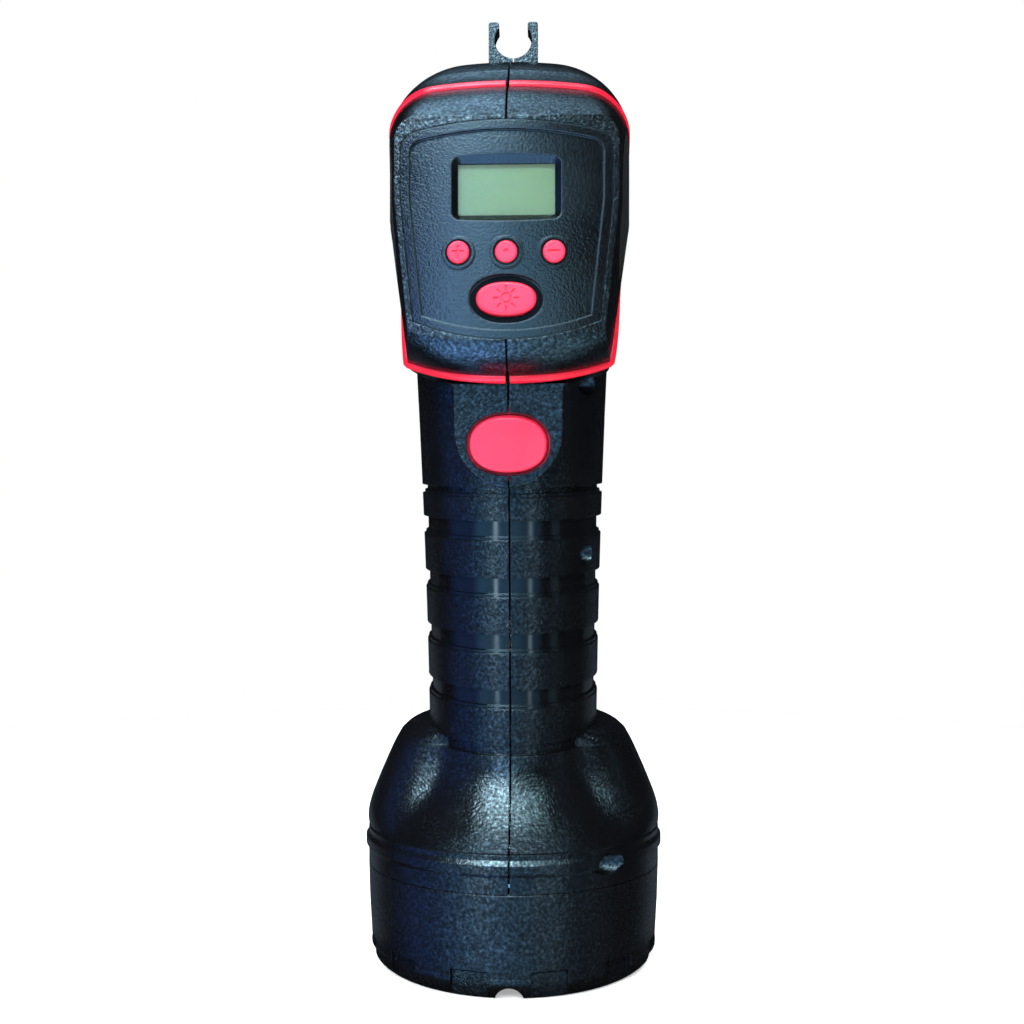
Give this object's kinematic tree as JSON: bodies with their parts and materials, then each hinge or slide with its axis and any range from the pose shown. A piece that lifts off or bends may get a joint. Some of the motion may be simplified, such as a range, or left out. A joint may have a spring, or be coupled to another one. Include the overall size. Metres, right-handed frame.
{
  "type": "timing light",
  "caption": "Flashlight-style engine timing light with a lens bell, banded grip, thumb button and a head with an LCD and keys.",
  "frame": {"origin": "centre of the lens rim, in the plane the part stands on", "axes": "+Z from the lens up to the head and hook, -Y towards the control panel and thumb button"},
  "size_m": [0.08, 0.0973, 0.253],
  "materials": {
    "housing_black": "fine moulded grain, satin black ABS",
    "trim_red": "smooth red trim",
    "side_plate": "plain black plate, no lettering",
    "panel_black": "fine moulded grain, satin black",
    "clear_window": "clear acrylic",
    "lcd_glass": "reflective green liquid crystal",
    "white_nylon": "moulded light guide",
    "button_red": "satin red keys with moulded signs",
    "zinc_screw": "zinc plated",
    "boot_black": "fine moulded grain, satin black",
    "clear_lens": "polished",
    "gasket_rubber": "soft seal",
    "mirror_coat": "vacuum metallised",
    "tube_glass": "quartz",
    "nickel": "plated",
    "ceramic_white": "fired ceramic",
    "circuit_board": "green solder mask",
    "chip_epoxy": "moulded epoxy",
    "switch_black": "moulded",
    "spring_steel": "drawn wire",
    "ferrite": "sintered",
    "copper_wire": "enamelled copper",
    "capacitor_sleeve": "shrink sleeve",
    "coil_tape": "polyester tape",
    "socket_black": "moulded",
    "brass_contact": "turned",
    "ribbon_grey": "flat cable",
    "wire_white": "silicone lead",
    "wire_red": "silicone lead"
  },
  "bodies": {
    "base": {"left_housing": "housing_black", "right_housing": "housing_black", "left_trim": "trim_red", "right_trim": "trim_red", "left_side_plate": "side_plate", "right_side_plate": "side_plate", "control_panel": "panel_black", "lcd_window": "clear_window", "lcd_module": "lcd_glass", "lcd_backlight": "white_nylon", "housing_screws": "zinc_screw", "board_screws": "zinc_screw", "lens_boot": "boot_black", "lens": "clear_lens", "lens_gasket": "gasket_rubber", "reflector": "mirror_coat", "xenon_tube": "tube_glass", "tube_caps": "nickel", "trigger_wire": "nickel", "tube_holder": "ceramic_white", "display_board": "circuit_board", "controller_chip": "chip_epoxy", "keypad_switches": "switch_black", "thumb_switch": "switch_black", "thumb_spring": "spring_steel", "power_board": "circuit_board", "inverter_transformer": "ferrite", "transformer_winding": "copper_wire", "storage_capacitor": "capacitor_sleeve", "trigger_coil": "coil_tape", "power_transistor": "chip_epoxy", "lead_socket": "socket_black", "socket_contacts": "brass_contact", "socket_nut": "brass_contact", "display_cable": "ribbon_grey", "lamp_wires": "wire_white", "socket_wires": "wire_red"},
    "plus_button": {"plus_button": "button_red"},
    "mode_button": {"mode_button": "button_red"},
    "minus_button": {"minus_button": "button_red"},
    "backlight_button": {"backlight_button": "button_red"},
    "thumb_button": {"thumb_button": "button_red"}
  },
  "joints": [
    {"name": "plus_press", "type": "slide", "parent": "base", "child": "plus_button", "axis": [0, 1, 0], "range_m": [0, 0.0008], "stiffness_N_per_m": 600, "springref_m": -0.0006},
    {"name": "mode_press", "type": "slide", "parent": "base", "child": "mode_button", "axis": [0, 1, 0], "range_m": [0, 0.0008], "stiffness_N_per_m": 600, "springref_m": -0.0006},
    {"name": "minus_press", "type": "slide", "parent": "base", "child": "minus_button", "axis": [0, 1, 0], "range_m": [0, 0.0008], "stiffness_N_per_m": 600, "springref_m": -0.0006},
    {"name": "backlight_press", "type": "slide", "parent": "base", "child": "backlight_button", "axis": [0, 1, 0], "range_m": [0, 0.0008], "stiffness_N_per_m": 600, "springref_m": -0.0006},
    {"name": "thumb_press", "type": "slide", "parent": "base", "child": "thumb_button", "axis": [0, 0.9903, 0.1392], "range_m": [0, 0.002], "stiffness_N_per_m": 500, "springref_m": -0.002, "deforming": ["thumb_spring"]}
  ]
}
